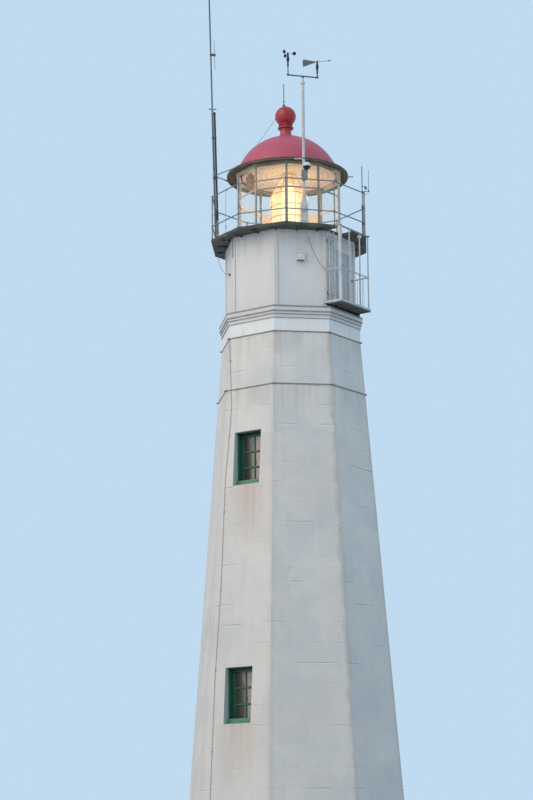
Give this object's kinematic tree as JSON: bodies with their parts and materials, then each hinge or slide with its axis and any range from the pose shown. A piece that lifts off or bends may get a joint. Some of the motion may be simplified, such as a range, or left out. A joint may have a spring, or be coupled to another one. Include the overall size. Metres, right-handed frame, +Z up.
{
  "type": "lighthouse",
  "caption": "Octagonal tapered concrete lighthouse with a watch room, a railed gallery, a balcony and a glazed lantern under a red dome.",
  "frame": {"origin": "centre of the tower's foot, on the ground", "axes": "+Z up along the tower's axis; -Y out of the front face, which has the lamp box; +X to the right as seen from the front"},
  "size_m": [6.1346, 6.1346, 27.978],
  "materials": {
    "weathered_concrete": "weathered white paint on board-marked concrete",
    "cornice_paint": "matt white masonry paint",
    "watch_room_paint": "matt light grey paint",
    "floor_concrete": "bare concrete",
    "band_iron": "rusty dark iron",
    "green_wood": "worn green gloss paint",
    "window_glass": "dusty clear glass",
    "door_paint": "green gloss paint",
    "grey_door_paint": "satin grey paint",
    "deck_paint": "dark grey-green paint",
    "rail_steel": "dull galvanised steel",
    "lantern_paint": "grey paint",
    "lantern_glass": "clear glass",
    "lens_glass": "ribbed lens glass lit from inside",
    "brim_paint": "dark grey-green paint",
    "dome_red": "faded red paint",
    "rod_iron": "dark iron",
    "mast_paint": "off-white paint",
    "black_plastic": "black plastic",
    "white_plastic": "white plastic",
    "antenna_grey": "weathered grey metal",
    "lamp_grey": "pale grey enamel",
    "conductor_metal": "dull brown metal"
  },
  "bodies": {
    "tower": {"front_wall": "weathered_concrete", "front_right_wall": "weathered_concrete", "right_wall": "weathered_concrete", "back_right_wall": "weathered_concrete", "back_wall": "weathered_concrete", "back_left_wall": "weathered_concrete", "left_wall": "weathered_concrete", "front_left_wall": "weathered_concrete", "ground_floor": "floor_concrete", "lower_landing": "floor_concrete", "upper_landing": "floor_concrete", "watch_room_floor": "floor_concrete", "tie_bands": "band_iron", "cornice": "cornice_paint", "watch_room_panels": "watch_room_paint", "watch_room_pilasters": "watch_room_paint", "watch_room_door": "grey_door_paint", "window_sashes": "green_wood", "window_glass": "window_glass", "entrance_door_frame": "green_wood", "entrance_door": "door_paint", "gallery_deck": "deck_paint", "gallery_posts": "rail_steel", "gallery_top_rails": "rail_steel", "gallery_mid_rails": "rail_steel", "balcony_lamp": "white_plastic", "hatch_bar": "rail_steel", "lantern_curb": "lantern_paint", "lantern_head": "lantern_paint", "lantern_mullions": "lantern_paint", "lantern_transoms": "lantern_paint", "lantern_glass": "lantern_glass", "lens_pedestal": "lantern_paint", "lens": "lens_glass", "roof_brim": "brim_paint", "roof_dome": "dome_red", "ball_ventilator": "dome_red", "lightning_rod": "rod_iron", "balcony_floor": "deck_paint", "balcony_posts": "mast_paint", "balcony_guard": "rail_steel", "balcony_ladder": "rail_steel", "instrument_mast": "mast_paint", "instrument_arm": "mast_paint", "sensor_bodies": "antenna_grey", "dome_camera": "white_plastic", "antenna_mast": "antenna_grey", "tube_antenna": "black_plastic", "antenna_clamps": "rod_iron", "antenna_dipole": "rod_iron", "brim_braces": "rail_steel", "corner_antenna": "antenna_grey", "wall_lamp": "lamp_grey", "down_conductor": "conductor_metal"},
    "cup_rotor": {"cup_rotor": "black_plastic"},
    "wind_vane": {"wind_vane": "black_plastic"}
  },
  "joints": [
    {"name": "rotor_spin", "type": "hinge", "parent": "tower", "child": "cup_rotor", "pos_m": [-0.35728, -2.16022, 24.436], "axis": [0, 0, 1], "continuous": true},
    {"name": "vane_turn", "type": "hinge", "parent": "tower", "child": "wind_vane", "pos_m": [0.52664, -2.05638, 24.271], "axis": [0, 0, 1], "continuous": true}
  ]
}
